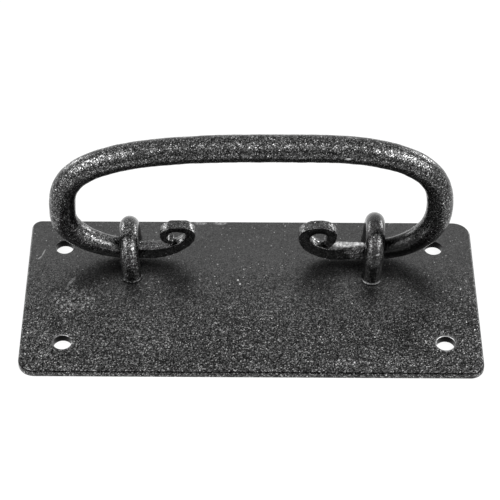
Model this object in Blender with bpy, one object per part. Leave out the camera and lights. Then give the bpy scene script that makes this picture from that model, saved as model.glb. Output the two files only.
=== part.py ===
"""Wrought bail pull: a back plate, two riveted staples and a swinging bail with curled ends.

The bail is one bar. It is thickest in the hand, drawn down to the two journals that turn in
the staples, then forged square and rolled up into a curl at each end. The staples are bent
from round rod. Each leg stands on a flared shoulder, and its tenon passes through the plate
and is hammered over into a countersink, flush with the back.

World frame, metres: +X along the plate, +Y towards the edge that the staples are near, +Z out
of the plate's face. The origin is the middle of the plate's back face. The bail stands square
to the plate at rest, and its origin is on the line through both journals.
"""

import math
from typing import NamedTuple

import bmesh
import bpy
import numpy as np
from mathutils import Matrix, Vector

MM = 0.001

# Back plate, cut from flat sheet with four corners rounded by hand
PLATE_LENGTH = 165.0 * MM
PLATE_WIDTH = 76.0 * MM
PLATE_THICKNESS = 3.0 * MM
PLATE_FRONT_ROUND = 0.8 * MM
PLATE_BACK_BREAK = 0.3 * MM
REAR_LEFT_CORNER = 3.7 * MM
REAR_RIGHT_CORNER = 6.5 * MM
FRONT_LEFT_CORNER = 6.0 * MM
FRONT_RIGHT_CORNER = 5.0 * MM

# Screw holes, punched by eye, so each has its own distances from the nearest two edges
SCREW_HOLE_DIAMETER = 6.6 * MM
SCREW_HOLE_BREAK = 0.4 * MM
REAR_LEFT_HOLE_FROM_END = 13.0 * MM
REAR_LEFT_HOLE_FROM_SIDE = 14.1 * MM
REAR_RIGHT_HOLE_FROM_END = 14.1 * MM
REAR_RIGHT_HOLE_FROM_SIDE = 13.7 * MM
FRONT_LEFT_HOLE_FROM_END = 15.2 * MM
FRONT_LEFT_HOLE_FROM_SIDE = 13.7 * MM
FRONT_RIGHT_HOLE_FROM_END = 12.4 * MM
FRONT_RIGHT_HOLE_FROM_SIDE = 14.1 * MM

# Hinge line: how far it lies from the plate's rear edge, and the air under the journals
AXIS_FROM_REAR_EDGE = 19.4 * MM
JOURNAL_LIFT = 0.7 * MM

# Staples
STAPLE_ROD_DIAMETER = 7.2 * MM
STAPLE_TOE_IN = math.radians(2.0)
STAPLE_LEAN = math.radians(3.5)
LEFT_STAPLE_FROM_MIDDLE = 44.1 * MM
LEFT_STAPLE_LEG_SPACING = 19.3 * MM
LEFT_STAPLE_LEG_LENGTH = 3.3 * MM
RIGHT_STAPLE_FROM_MIDDLE = 45.0 * MM
RIGHT_STAPLE_LEG_SPACING = 20.3 * MM
RIGHT_STAPLE_LEG_LENGTH = 5.1 * MM
SHOULDER_FLARE = 0.9 * MM
SHOULDER_HEIGHT = 1.8 * MM
TENON_DIAMETER = 5.0 * MM
RIVET_HEAD_DIAMETER = 7.6 * MM
RIVET_HEAD_DEPTH = 1.5 * MM
SEAT_GAP = 0.3 * MM

# Bail: its bar and its open shape, measured to the bar's middle line from the hinge line
BAIL_HEIGHT = 50.8 * MM
BAIL_CROWN_OFFSET = 19.0 * MM
GRIP_DIAMETER = 9.65 * MM
BELLY_DIAMETER = 9.15 * MM
JOURNAL_DIAMETER = 7.6 * MM
LEFT_BELLY_FROM_MIDDLE = 68.5 * MM
LEFT_BELLY_HEIGHT = 18.0 * MM
LEFT_UPPER_FULLNESS = 3.15
LEFT_LOWER_FULLNESS = 2.0
RIGHT_BELLY_FROM_MIDDLE = 68.4 * MM
RIGHT_BELLY_HEIGHT = 22.3 * MM
RIGHT_UPPER_FULLNESS = 2.6
RIGHT_LOWER_FULLNESS = 2.2

# Curled ends: the square bar's depth front to back, and each curl's middle line
CURL_ROOT_DEPTH = 5.4 * MM
CURL_DEPTH = 4.8 * MM
CURL_SQUARENESS = 7.0
CURL_TIP_CHAMFER = 0.5 * MM
CURL_TIP_GAP = 0.4 * MM
LEFT_CURL_START_FROM_STAPLE = 5.1 * MM
LEFT_CURL_ROOT_THICKNESS = 4.7 * MM
LEFT_CURL_SIDE_THICKNESS = 3.4 * MM
LEFT_CURL_TOP_THICKNESS = 2.1 * MM
LEFT_CURL_RETURN_THICKNESS = 2.6 * MM
LEFT_CURL_TIP_THICKNESS = 1.5 * MM
LEFT_CURL_RUN = 17.0 * MM
LEFT_CURL_SIDE_HEIGHT = 9.5 * MM
LEFT_CURL_TOP_HEIGHT = 12.2 * MM
LEFT_CURL_TOP_SETBACK = 5.05 * MM
LEFT_CURL_WIDTH = 10.15 * MM
LEFT_CURL_RETURN_HEIGHT = 8.3 * MM
LEFT_CURL_TIP_RUN = 3.4 * MM
LEFT_CURL_TIP_SWING = math.radians(85.0)
RIGHT_CURL_START_FROM_STAPLE = 13.0 * MM
RIGHT_CURL_ROOT_THICKNESS = 5.3 * MM
RIGHT_CURL_SIDE_THICKNESS = 4.2 * MM
RIGHT_CURL_TOP_THICKNESS = 2.9 * MM
RIGHT_CURL_RETURN_THICKNESS = 3.6 * MM
RIGHT_CURL_TIP_THICKNESS = 2.6 * MM
RIGHT_CURL_RUN = 12.3 * MM
RIGHT_CURL_SIDE_HEIGHT = 8.2 * MM
RIGHT_CURL_TOP_HEIGHT = 12.05 * MM
RIGHT_CURL_TOP_SETBACK = 5.7 * MM
RIGHT_CURL_WIDTH = 10.3 * MM
RIGHT_CURL_RETURN_HEIGHT = 9.0 * MM
RIGHT_CURL_TIP_RUN = 1.9 * MM
RIGHT_CURL_TIP_SWING = math.radians(45.0)

# Fineness of the meshes
CORNER_STEPS = 6
PLATE_ROUND_STEPS = 3
HOLE_SIDES = 32
ROD_SIDES = 16
BAR_SIDES = 20
BAR_STEP = 3.2 * MM
CURL_STEP = 1.3 * MM
ARCH_STEPS = 20
FLARE_STEPS = 4
OVAL_SAMPLES = 400
WELD_DISTANCE = 0.001 * MM
SHARP_ANGLE = math.radians(35.0)

# Fullness of an ellipse, and squareness of a round bar
ROUND = 2.0
QUARTER_TURN = math.pi / 2

# Values that follow from the sizes above
PLATE_TOP = PLATE_THICKNESS
AXIS_Y = PLATE_WIDTH / 2 - AXIS_FROM_REAR_EDGE
AXIS_Z = PLATE_TOP + JOURNAL_LIFT + JOURNAL_DIAMETER / 2
FOOT_Z = PLATE_TOP + SEAT_GAP
STAPLE_ROD_RADIUS = STAPLE_ROD_DIAMETER / 2


class Corner(NamedTuple):
    """One corner of the plate, with its rounding and its screw hole."""

    side_x: int
    side_y: int
    radius: float
    hole_from_end: float
    hole_from_side: float


class Staple(NamedTuple):
    """One staple. side is -1 on the left and 1 on the right."""

    name: str
    side: int
    from_middle: float
    leg_spacing: float
    leg_length: float


class Curl(NamedTuple):
    """The curled end of one half of the bail, measured along its middle line."""

    start_from_staple: float
    root_thickness: float
    side_thickness: float
    top_thickness: float
    return_thickness: float
    tip_thickness: float
    run: float
    side_height: float
    top_height: float
    top_setback: float
    width: float
    return_height: float
    tip_run: float
    tip_swing: float


class BailHalf(NamedTuple):
    """One half of the bail, from the crown to the tip of its curl."""

    side: int
    staple_from_middle: float
    belly_from_middle: float
    belly_height: float
    upper_fullness: float
    lower_fullness: float
    curl: Curl


CORNERS = (
    Corner(1, 1, REAR_RIGHT_CORNER, REAR_RIGHT_HOLE_FROM_END, REAR_RIGHT_HOLE_FROM_SIDE),
    Corner(-1, 1, REAR_LEFT_CORNER, REAR_LEFT_HOLE_FROM_END, REAR_LEFT_HOLE_FROM_SIDE),
    Corner(-1, -1, FRONT_LEFT_CORNER, FRONT_LEFT_HOLE_FROM_END, FRONT_LEFT_HOLE_FROM_SIDE),
    Corner(1, -1, FRONT_RIGHT_CORNER, FRONT_RIGHT_HOLE_FROM_END, FRONT_RIGHT_HOLE_FROM_SIDE),
)

STAPLES = (
    Staple("staple_left", -1, LEFT_STAPLE_FROM_MIDDLE, LEFT_STAPLE_LEG_SPACING,
           LEFT_STAPLE_LEG_LENGTH),
    Staple("staple_right", 1, RIGHT_STAPLE_FROM_MIDDLE, RIGHT_STAPLE_LEG_SPACING,
           RIGHT_STAPLE_LEG_LENGTH),
)

LEFT_CURL = Curl(
    LEFT_CURL_START_FROM_STAPLE, LEFT_CURL_ROOT_THICKNESS, LEFT_CURL_SIDE_THICKNESS,
    LEFT_CURL_TOP_THICKNESS, LEFT_CURL_RETURN_THICKNESS, LEFT_CURL_TIP_THICKNESS, LEFT_CURL_RUN,
    LEFT_CURL_SIDE_HEIGHT, LEFT_CURL_TOP_HEIGHT, LEFT_CURL_TOP_SETBACK, LEFT_CURL_WIDTH,
    LEFT_CURL_RETURN_HEIGHT, LEFT_CURL_TIP_RUN, LEFT_CURL_TIP_SWING)

RIGHT_CURL = Curl(
    RIGHT_CURL_START_FROM_STAPLE, RIGHT_CURL_ROOT_THICKNESS, RIGHT_CURL_SIDE_THICKNESS,
    RIGHT_CURL_TOP_THICKNESS, RIGHT_CURL_RETURN_THICKNESS, RIGHT_CURL_TIP_THICKNESS,
    RIGHT_CURL_RUN, RIGHT_CURL_SIDE_HEIGHT, RIGHT_CURL_TOP_HEIGHT, RIGHT_CURL_TOP_SETBACK,
    RIGHT_CURL_WIDTH, RIGHT_CURL_RETURN_HEIGHT, RIGHT_CURL_TIP_RUN, RIGHT_CURL_TIP_SWING)

LEFT_HALF = BailHalf(
    -1, LEFT_STAPLE_FROM_MIDDLE, LEFT_BELLY_FROM_MIDDLE, LEFT_BELLY_HEIGHT,
    LEFT_UPPER_FULLNESS, LEFT_LOWER_FULLNESS, LEFT_CURL)

RIGHT_HALF = BailHalf(
    1, RIGHT_STAPLE_FROM_MIDDLE, RIGHT_BELLY_FROM_MIDDLE, RIGHT_BELLY_HEIGHT,
    RIGHT_UPPER_FULLNESS, RIGHT_LOWER_FULLNESS, RIGHT_CURL)


def clear_scene():
    """Remove whatever the scene starts with."""
    for item in list(bpy.data.objects):
        bpy.data.objects.remove(item, do_unlink=True)


def paint(name, colour, roughness, metallic):
    """A powder-coat finish."""
    material = bpy.data.materials.new(name)
    material.use_nodes = True
    shader = material.node_tree.nodes["Principled BSDF"]
    shader.inputs["Base Color"].default_value = (*colour, 1.0)
    shader.inputs["Roughness"].default_value = roughness
    shader.inputs["Metallic"].default_value = metallic
    return material


def make_object(name, bm, material=None):
    """Turn a bmesh into an object in the scene, shaded smooth up to its sharp edges."""
    bmesh.ops.remove_doubles(bm, verts=bm.verts, dist=WELD_DISTANCE)
    bmesh.ops.recalc_face_normals(bm, faces=bm.faces)
    mesh = bpy.data.meshes.new(name)
    bm.to_mesh(mesh)
    bm.free()
    mesh.shade_smooth()
    mesh.set_sharp_from_angle(angle=SHARP_ANGLE)
    if material:
        mesh.materials.append(material)
    item = bpy.data.objects.new(name, mesh)
    bpy.context.scene.collection.objects.link(item)
    return item


def loft(rings):
    """Skin a row of closed rings, each a list of points, and cap both ends."""
    bm = bmesh.new()
    loops = [[bm.verts.new(point) for point in ring] for ring in rings]
    for lower, upper in zip(loops, loops[1:]):
        for i in range(len(lower)):
            j = (i + 1) % len(lower)
            bm.faces.new((lower[i], lower[j], upper[j], upper[i]))
    bm.faces.new(reversed(loops[0]))
    bm.faces.new(loops[-1])
    return bm


def circle(radius, height, sides):
    """Points of a level circle about the Z axis."""
    turn = 2 * math.pi / sides
    return [(radius * math.cos(i * turn), radius * math.sin(i * turn), height)
            for i in range(sides)]


def turned(profile, sides):
    """A solid turned about the Z axis from (radius, height) pairs."""
    return loft([circle(radius, height, sides) for radius, height in profile])


def cut(target, name, cutters):
    """Cut a target with a hidden cutter made of separate closed shapes."""
    bm = bmesh.new()
    for shape, (x, y) in cutters:
        mesh = bpy.data.meshes.new(name)
        bmesh.ops.recalc_face_normals(shape, faces=shape.faces)
        bmesh.ops.translate(shape, verts=shape.verts, vec=(x, y, 0.0))
        shape.to_mesh(mesh)
        shape.free()
        bm.from_mesh(mesh)
        bpy.data.meshes.remove(mesh)
    cutter = make_object(name, bm)
    cutter.hide_render = True
    cutter.display_type = "WIRE"
    modifier = target.modifiers.new(name, "BOOLEAN")
    modifier.operation = "DIFFERENCE"
    modifier.solver = "EXACT"
    modifier.object = cutter


def plate_outline():
    """The plate's outline, anticlockwise, with an arc at each corner."""
    points = []
    for corner in CORNERS:
        centre_x = corner.side_x * (PLATE_LENGTH / 2 - corner.radius)
        centre_y = corner.side_y * (PLATE_WIDTH / 2 - corner.radius)
        middle = math.atan2(corner.side_y, corner.side_x)
        for step in range(CORNER_STEPS + 1):
            angle = middle + QUARTER_TURN * (step / CORNER_STEPS - 0.5)
            points.append((centre_x + corner.radius * math.cos(angle),
                           centre_y + corner.radius * math.sin(angle)))
    return points


def screw_hole_place(corner):
    """Where a corner's screw hole stands."""
    return (corner.side_x * (PLATE_LENGTH / 2 - corner.hole_from_end),
            corner.side_y * (PLATE_WIDTH / 2 - corner.hole_from_side))


def screw_hole_shape():
    """A through hole whose front edge is broken by the punch."""
    radius = SCREW_HOLE_DIAMETER / 2
    over = SCREW_HOLE_BREAK
    return turned([(radius, -over), (radius, PLATE_TOP - SCREW_HOLE_BREAK),
                   (radius + 2 * over, PLATE_TOP + over)], HOLE_SIDES)


def tenon_hole_shape():
    """A through hole for a tenon, countersunk at the back for its head."""
    head = RIVET_HEAD_DIAMETER / 2 + SEAT_GAP
    bore = TENON_DIAMETER / 2 + SEAT_GAP
    slope = (head - bore) / RIVET_HEAD_DEPTH
    over = SEAT_GAP
    return turned([(head + slope * over, -over), (bore, RIVET_HEAD_DEPTH),
                   (bore, PLATE_TOP + over)], HOLE_SIDES)


def foot_places(staple):
    """Where a staple's two legs stand, front one first."""
    half = staple.leg_spacing / 2
    turn = Matrix.Rotation(staple.side * -STAPLE_TOE_IN, 2)
    middle = Vector((staple.side * staple.from_middle, AXIS_Y))
    return [middle + turn @ Vector((0.0, end * half)) for end in (-1, 1)]


def build_plate(material):
    """The flat plate, its edges eased, with the screw holes and the tenon holes cut."""
    bm = bmesh.new()
    outline = [bm.verts.new((x, y, 0.0)) for x, y in plate_outline()]
    base = bm.faces.new(outline)
    raised = bmesh.ops.extrude_face_region(bm, geom=[base])
    top = [item for item in raised["geom"] if isinstance(item, bmesh.types.BMVert)]
    bmesh.ops.translate(bm, verts=top, vec=(0.0, 0.0, PLATE_THICKNESS))
    bmesh.ops.recalc_face_normals(bm, faces=bm.faces)
    for level, width, segments in ((PLATE_TOP, PLATE_FRONT_ROUND, PLATE_ROUND_STEPS),
                                   (0.0, PLATE_BACK_BREAK, 1)):
        rim = [edge for edge in bm.edges
               if all(abs(vert.co.z - level) < WELD_DISTANCE for vert in edge.verts)]
        bmesh.ops.bevel(bm, geom=rim, offset=width, segments=segments, profile=0.5,
                        affect="EDGES", clamp_overlap=True)
    plate = make_object("back_plate", bm, material)
    cut(plate, "screw_hole_cutter",
        [(screw_hole_shape(), screw_hole_place(corner)) for corner in CORNERS])
    cut(plate, "tenon_hole_cutter",
        [(tenon_hole_shape(), place) for staple in STAPLES for place in foot_places(staple)])
    return plate


def leg_profile(leg_length):
    """(radius, height) pairs from a tenon's hammered end up to where the arch starts."""
    head = RIVET_HEAD_DIAMETER / 2
    tenon = TENON_DIAMETER / 2
    profile = [(head, 0.0), (tenon, RIVET_HEAD_DEPTH), (tenon, FOOT_Z)]
    for step in range(FLARE_STEPS + 1):
        rise = step / FLARE_STEPS
        flare = SHOULDER_FLARE * (1 - rise) ** 2
        profile.append((STAPLE_ROD_RADIUS + flare, FOOT_Z + rise * SHOULDER_HEIGHT))
    arch_start = max(PLATE_TOP + leg_length, profile[-1][1] + SEAT_GAP)
    profile.append((STAPLE_ROD_RADIUS, arch_start))
    return profile


def build_staple(staple, material):
    """One staple: two shouldered legs and the half ring between them."""
    half = staple.leg_spacing / 2
    profile = leg_profile(staple.leg_length)
    arch_z = profile[-1][1]

    def leg_rings(end):
        return [[(x, y + end * half, z) for x, y, z in circle(radius, height, ROD_SIDES)]
                for radius, height in profile]

    def arch_ring(angle):
        centre = Vector((0.0, -half * math.cos(angle), arch_z + half * math.sin(angle)))
        outward = Vector((0.0, -math.cos(angle), math.sin(angle)))
        turn = 2 * math.pi / ROD_SIDES
        return [centre + STAPLE_ROD_RADIUS * (math.cos(i * turn) * Vector((1.0, 0.0, 0.0))
                                              - math.sin(i * turn) * outward)
                for i in range(ROD_SIDES)]

    front = leg_rings(-1)
    arch = [arch_ring(math.pi * step / ARCH_STEPS) for step in range(1, ARCH_STEPS)]
    rear = [[(x, -y, z) for x, y, z in ring] for ring in front]
    bm = loft(front + arch + rear[::-1])
    for vert in bm.verts:
        vert.co.x += staple.side * math.tan(STAPLE_LEAN) * max(0.0, vert.co.z - FOOT_Z)
    item = make_object(staple.name, bm, material)
    item.location = (staple.side * staple.from_middle, AXIS_Y, 0.0)
    item.rotation_euler = (0.0, 0.0, staple.side * -STAPLE_TOE_IN)
    return item


def quarter_oval(start, end, level_start, fullness, swing=QUARTER_TURN):
    """Points of a quarter oval from start to end, (x, z) pairs.

    It leaves start along the bar's length where level_start is true, and upright otherwise,
    and reaches end square to that. A fullness of 2 is an ellipse, and more is squarer. With
    a swing of less than a quarter turn, it reaches end before it has bent that far.
    """
    turned_by = np.linspace(0.0, swing, OVAL_SAMPLES)
    gained = np.sin(turned_by) ** (2 / fullness)
    left = 1 - np.cos(turned_by) ** (2 / fullness)
    share = np.stack([gained, left] if level_start else [left, gained], axis=1) / (
        [gained[-1], left[-1]] if level_start else [left[-1], gained[-1]])
    return np.array(start) + (np.array(end) - np.array(start)) * share


def respaced(points, step):
    """The same curve with points at even distances of about step, both ends kept."""
    lengths = np.concatenate([[0.0], np.cumsum(np.linalg.norm(np.diff(points, axis=0), axis=1))])
    count = max(1, int(round(lengths[-1] / step)))
    at = np.linspace(0.0, lengths[-1], count + 1)
    return np.stack([np.interp(at, lengths, points[:, k]) for k in range(2)], axis=1)


def curl_legs(half):
    """The curl's middle line in four quarter ovals, each with the section that it ends in.

    The tip's lower corner comes to rest just above the bar that it curls back to.
    """
    curl = half.curl
    root_x = half.staple_from_middle - curl.start_from_staple
    side_x = root_x - curl.run
    top_x = side_x + curl.top_setback
    return_x = side_x + curl.width
    tip_x = return_x - curl.tip_run
    rise = quarter_oval((root_x, 0.0), (side_x, curl.side_height), True, ROUND)
    corner_x = tip_x + curl.tip_thickness / 2 * math.cos(curl.tip_swing)
    below = np.argmax(rise[:, 0] < corner_x)
    slope = np.linalg.norm(rise[below] - rise[below - 1]) / abs(rise[below - 1, 0] - rise[below, 0])
    tip_z = (rise[below, 1] + curl.root_thickness / 2 * slope + CURL_TIP_GAP
             + curl.tip_thickness / 2 * math.sin(curl.tip_swing))
    side = (side_x, curl.side_height)
    top = (top_x, curl.top_height)
    back = (return_x, curl.return_height)
    legs = [
        (rise, curl.side_thickness),
        (quarter_oval(side, top, False, ROUND), curl.top_thickness),
        (quarter_oval(top, back, True, ROUND), curl.return_thickness),
        (quarter_oval(back, (tip_x, tip_z), False, ROUND, curl.tip_swing), curl.tip_thickness),
    ]
    return [(oval, CURL_STEP, (thickness, CURL_DEPTH, CURL_SQUARENESS))
            for oval, thickness in legs]


def half_path(half):
    """One half's middle line from crown to tip, with the bar's section at every point.

    A section is its thickness in the bail's plane, its depth across that plane, and its
    squareness. The bar changes from round to square inside the staple.
    """
    belly = (half.belly_from_middle, half.belly_height)
    crown = (half.side * BAIL_CROWN_OFFSET, BAIL_HEIGHT)
    foot_x = half.staple_from_middle - STAPLE_ROD_RADIUS
    root_x = half.staple_from_middle - half.curl.start_from_staple
    lower = quarter_oval(belly, (foot_x, 0.0), False, half.lower_fullness)
    in_staple = np.argmax(lower[:, 0] < half.staple_from_middle)
    square = (half.curl.root_thickness, CURL_ROOT_DEPTH, CURL_SQUARENESS)
    legs = [
        (quarter_oval(crown, belly, True, half.upper_fullness), BAR_STEP,
         (BELLY_DIAMETER, BELLY_DIAMETER, ROUND)),
        (lower[:in_staple + 1], BAR_STEP, (JOURNAL_DIAMETER, JOURNAL_DIAMETER, ROUND)),
        (lower[in_staple:], CURL_STEP, square),
        (np.array([(foot_x, 0.0), (root_x, 0.0)]), BAR_STEP, square),
        *curl_legs(half),
    ]
    points = [np.array([crown])]
    sections = [np.array([(GRIP_DIAMETER, GRIP_DIAMETER, ROUND)])]
    for curve, step, section in legs:
        stretch = respaced(curve, step)[1:]
        share = (np.arange(len(stretch)) + 1) / len(stretch)
        ease = (share * share * (3 - 2 * share))[:, None]
        sections.append(sections[-1][-1] * (1 - ease) + np.array(section) * ease)
        points.append(stretch)
    path = np.concatenate(points)
    path[:, 0] *= half.side
    return path, np.concatenate(sections)


def bar_ring(centre, along, section, scale=1.0):
    """One section of the bar: an oval or a rounded square, square to the middle line."""
    thickness, depth, squareness = section
    across = (-along[1], along[0])
    ring = []
    for i in range(BAR_SIDES):
        angle = 2 * math.pi * i / BAR_SIDES
        flat = math.copysign(abs(math.cos(angle)) ** (2 / squareness), math.cos(angle))
        deep = math.copysign(abs(math.sin(angle)) ** (2 / squareness), math.sin(angle))
        reach = scale * flat * thickness / 2
        ring.append((centre[0] + across[0] * reach, scale * deep * depth / 2,
                     centre[1] + across[1] * reach))
    return ring


def build_bail(material):
    """The bail, one bar from curl to curl, with its origin on the hinge line."""
    left_path, left_sections = half_path(LEFT_HALF)
    right_path, right_sections = half_path(RIGHT_HALF)
    path = np.concatenate([left_path[::-1], right_path[1:]])
    sections = np.concatenate([left_sections[::-1], right_sections[1:]])
    along = np.gradient(path, axis=0)
    along /= np.linalg.norm(along, axis=1)[:, None]
    rings = [bar_ring(path[i], along[i], sections[i]) for i in range(len(path))]
    for end, outward in ((0, -1), (-1, 1)):
        tip = path[end] + outward * CURL_TIP_CHAMFER * along[end]
        shrunk = 1 - 2 * CURL_TIP_CHAMFER / sections[end][1]
        cap = bar_ring(tip, along[end], sections[end], shrunk)
        rings.insert(0 if end == 0 else len(rings), cap)
    item = make_object("bail", loft(rings), material)
    item.location = (0.0, AXIS_Y, AXIS_Z)
    return item


def main():
    """Build every piece of the pull."""
    clear_scene()
    build_plate(paint("plate_paint", (0.045, 0.046, 0.048), 0.62, 0.0))
    for staple in STAPLES:
        build_staple(staple, paint(staple.name + "_paint", (0.030, 0.030, 0.032), 0.50, 0.0))
    build_bail(paint("bail_paint", (0.024, 0.024, 0.026), 0.46, 0.0))


if __name__ == "__main__":
    main()
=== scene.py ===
"""Looks of the wrought bail pull: its plate, staples and bail, their powder coat, and the studio.

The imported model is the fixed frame, in metres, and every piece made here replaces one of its
nodes. The pieces are drawn the way a smith draws them: a bar is extruded ring by ring, forged
square where it has to be, and dented with the hammer at the end.
"""

import logging
import math
from collections.abc import Callable
from dataclasses import dataclass, field
from enum import Enum

import bmesh
import bpy
import numpy as np
from mathutils import Matrix, Vector


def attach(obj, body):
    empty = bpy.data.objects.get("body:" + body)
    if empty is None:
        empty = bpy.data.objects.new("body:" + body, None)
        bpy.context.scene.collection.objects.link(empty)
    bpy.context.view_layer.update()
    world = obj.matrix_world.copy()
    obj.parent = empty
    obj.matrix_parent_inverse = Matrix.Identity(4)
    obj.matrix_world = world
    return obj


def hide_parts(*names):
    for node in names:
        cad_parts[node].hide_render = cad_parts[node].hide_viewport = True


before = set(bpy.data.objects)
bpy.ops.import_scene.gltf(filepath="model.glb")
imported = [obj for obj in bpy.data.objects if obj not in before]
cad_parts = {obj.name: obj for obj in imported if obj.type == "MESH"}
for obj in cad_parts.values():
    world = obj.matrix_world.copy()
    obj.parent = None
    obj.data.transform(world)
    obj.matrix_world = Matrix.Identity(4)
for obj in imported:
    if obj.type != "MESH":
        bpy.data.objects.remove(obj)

MM = 0.001
QUARTER_TURN = math.pi / 2
SAME_PLACE = 0.01 * MM
ROUNDING = 1e-6

# Sizes that several pieces share

AXIS_Y = 18.6 * MM
AXIS_Z = 7.5 * MM
LEFT_STAPLE = 44.1 * MM
RIGHT_STAPLE = 45.0 * MM
STAPLE_ROD = 7.2 * MM
PLATE_TOP = 3.0 * MM
HEAD_DEPTH = 1.5 * MM

Piece = bpy.types.Object
Socket = bpy.types.NodeSocket
Tree = bpy.types.NodeTree
Triple = tuple[float, float, float]

log = logging.getLogger("bail_pull")


class Side(Enum):
    """The pull's two ends, by the sign of their X."""

    LEFT = -1
    RIGHT = 1


class Plane(Enum):
    """The plane that a bar is bent in, by the axis that it turns about."""

    FRONT = "Y"
    END = "X"


def mm(*lengths: float) -> tuple[float, ...]:
    """Lengths given in millimetres, in metres."""
    return tuple(length * MM for length in lengths)


# Working the mesh


def pick_only(item: Piece) -> None:
    """Make an object the active one and the only one selected.

    Args:
        item: The object.
    """
    bpy.ops.object.select_all(action="DESELECT")
    item.select_set(True)
    bpy.context.view_layer.objects.active = item


def add_primitive(add: Callable, name: str, scale: Triple = (1.0, 1.0, 1.0),
                  **settings: object) -> Piece:
    """Add a primitive and move its place, turn and size into its mesh.

    Args:
        add: The operator that adds it.
        name: The new object's name.
        scale: What its sides are multiplied by.
        settings: What the operator takes.

    Returns:
        The new object.
    """
    bpy.ops.object.select_all(action="DESELECT")
    add(**settings)
    made = bpy.context.object
    made.name = name
    made.scale = scale
    bpy.ops.object.transform_apply(location=True, rotation=True, scale=True)
    return made


def start_edit(item: Piece) -> None:
    """Enter an object's edit mode, with all of its vertices selected.

    Args:
        item: The object.
    """
    pick_only(item)
    bpy.ops.object.mode_set(mode="EDIT")
    bpy.ops.mesh.select_mode(type="VERT")
    bpy.ops.mesh.select_all(action="SELECT")


def end_edit() -> None:
    """Leave edit mode."""
    bpy.ops.object.mode_set(mode="OBJECT")


def face_outwards() -> None:
    """Turn all faces of the edited mesh outwards."""
    bpy.ops.mesh.select_all(action="SELECT")
    bpy.ops.mesh.normals_make_consistent(inside=False)


def select_where(item: Piece, wanted: Callable[[Vector], bool], kind: str = "VERT") -> None:
    """Select the vertices that a test picks, or the edges between them.

    Args:
        item: The object in edit mode.
        wanted: A test that takes a vertex's place and says whether to select it.
        kind: VERT for the vertices, or EDGE for the edges with both ends picked.
    """
    bpy.ops.mesh.select_mode(type="VERT")
    bpy.ops.mesh.select_all(action="DESELECT")
    mesh = bmesh.from_edit_mesh(item.data)
    for vertex in mesh.verts:
        vertex.select_set(wanted(vertex.co))
    mesh.select_flush_mode()
    bmesh.update_edit_mesh(item.data)
    bpy.ops.mesh.select_mode(type=kind)


def modify(item: Piece, name: str, kind: str, **settings: object) -> None:
    """Put a modifier on an object and apply it.

    Args:
        item: The object.
        name: The modifier's name.
        kind: Its type.
        settings: Its properties.
    """
    modifier = item.modifiers.new(name, kind)
    for key, value in settings.items():
        setattr(modifier, key, value)
    pick_only(item)
    bpy.ops.object.modifier_apply(modifier=modifier.name)


def shade_smooth(item: Piece, degrees: float) -> None:
    """Shade an object smooth, except across edges sharper than an angle."""
    pick_only(item)
    bpy.ops.object.shade_smooth_by_angle(angle=math.radians(degrees))


@dataclass(frozen=True)
class Hammering:
    """Dents left by the hammer: how deep they are and how far apart."""

    depth: float
    spacing: float

    def strike(self, item: Piece, name: str, group: str = "") -> None:
        """Dent an object with an applied Displace modifier.

        Args:
            item: The object to dent.
            name: The name of the modifier and its texture.
            group: The vertex group that takes the dents, or all of the object if empty.
        """
        texture = bpy.data.textures.new(name, "CLOUDS")
        texture.noise_scale = self.spacing
        texture.noise_depth = 1
        modify(item, name, "DISPLACE", texture=texture, texture_coords="GLOBAL",
               strength=self.depth, mid_level=0.5, vertex_group=group)


# Shader groups and finishes

# Brings the sum of two even draws to a standard deviation of 1.
DRAW_SPREAD = 2.45
# How much a fleck adds to its grain's paleness, in times that paleness.
FLECK_EXTRA = 3.0
CLOUDS_PER_METRE = 60.0
# How many lumps the relief has for each grain along a line.
RELIEF_SHARE = 0.35
# The noise over which a scratch comes in.
SCRATCH_EDGE = (0.48, 0.56)
# How much of a spot's reach its soft edge takes.
SPOT_EDGE = 0.5

# The noise over which a cloud comes in, and what it does to the grey and the roughness.
CLOUD_EDGE = (0.3, 0.7)
CLOUD_TONES = (0.92, 1.08)
CLOUD_ROUGHNESS = 0.05
# The share of the flecks that is left where the coat is calm.
CALM_FLECKS = 0.1
# Where painted light turns the coat paler towards the rear, in Y.
REAR_LIGHT_EDGE = mm(-15.0, 20.0)
# The painted shade line under the plate's rim: its height, and how far off it the painted shade
# fades out again.
RIM_SHADE_LINE = 2.62 * MM
RIM_SHADE_EDGE = mm(0.18, 0.38)
# The palest tone that a grainy spot still tells apart.
PALEST_TONE = 12.0

# The Mix node's colour sockets, by number, because their names repeat.
MIX_FIRST, MIX_SECOND, MIX_RESULT = 6, 7, 2


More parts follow.
